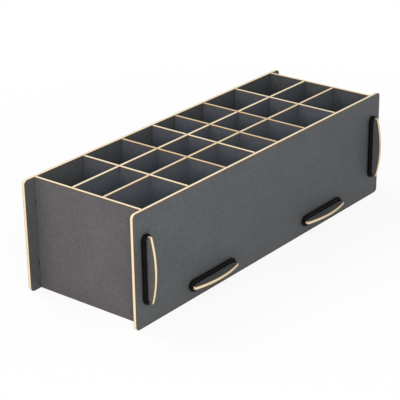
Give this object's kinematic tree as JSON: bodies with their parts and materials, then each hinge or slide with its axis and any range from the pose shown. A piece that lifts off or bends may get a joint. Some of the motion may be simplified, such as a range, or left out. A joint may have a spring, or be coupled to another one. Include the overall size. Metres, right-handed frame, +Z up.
{
  "type": "pen box",
  "caption": "Long open pen box of plug-together grey boards, with arched tabs locked by rubber rings and a lift-out grid of dividers that forms upright compartments.",
  "frame": {"origin": "on the table, at the middle of the footprint", "axes": "+X along the box to its right end, +Y to its back, +Z up"},
  "size_m": [0.374, 0.1478, 0.106],
  "materials": {
    "panel_board": "matte dark grey coating on both faces, raw pale cut edges",
    "divider_board": "matte dark grey coating on both faces, raw pale cut edges",
    "ring_rubber": "satin black rubber"
  },
  "bodies": {
    "box": {"front_panel": "panel_board", "back_panel": "panel_board", "left_end_panel": "panel_board", "right_end_panel": "panel_board", "base_panel": "panel_board", "front_left_end_ring": "ring_rubber", "front_right_end_ring": "ring_rubber", "back_left_end_ring": "ring_rubber", "back_right_end_ring": "ring_rubber", "front_left_base_ring": "ring_rubber", "front_right_base_ring": "ring_rubber", "back_left_base_ring": "ring_rubber", "back_right_base_ring": "ring_rubber"},
    "divider_rails": {"front_long_divider": "divider_board", "back_long_divider": "divider_board"},
    "cross_divider_1": {"cross_divider_1": "divider_board"},
    "cross_divider_2": {"cross_divider_2": "divider_board"},
    "cross_divider_3": {"cross_divider_3": "divider_board"},
    "cross_divider_4": {"cross_divider_4": "divider_board"},
    "cross_divider_5": {"cross_divider_5": "divider_board"},
    "cross_divider_6": {"cross_divider_6": "divider_board"}
  },
  "joints": [
    {"name": "rails_lift", "type": "slide", "parent": "box", "child": "divider_rails", "axis": [0, 0, 1], "range_m": [0, 0.095]},
    {"name": "cross_lift_1", "type": "slide", "parent": "divider_rails", "child": "cross_divider_1", "axis": [0, 0, 1], "range_m": [0, 0.095]},
    {"name": "cross_lift_2", "type": "slide", "parent": "divider_rails", "child": "cross_divider_2", "axis": [0, 0, 1], "range_m": [0, 0.095]},
    {"name": "cross_lift_3", "type": "slide", "parent": "divider_rails", "child": "cross_divider_3", "axis": [0, 0, 1], "range_m": [0, 0.095]},
    {"name": "cross_lift_4", "type": "slide", "parent": "divider_rails", "child": "cross_divider_4", "axis": [0, 0, 1], "range_m": [0, 0.095]},
    {"name": "cross_lift_5", "type": "slide", "parent": "divider_rails", "child": "cross_divider_5", "axis": [0, 0, 1], "range_m": [0, 0.095]},
    {"name": "cross_lift_6", "type": "slide", "parent": "divider_rails", "child": "cross_divider_6", "axis": [0, 0, 1], "range_m": [0, 0.095]}
  ]
}
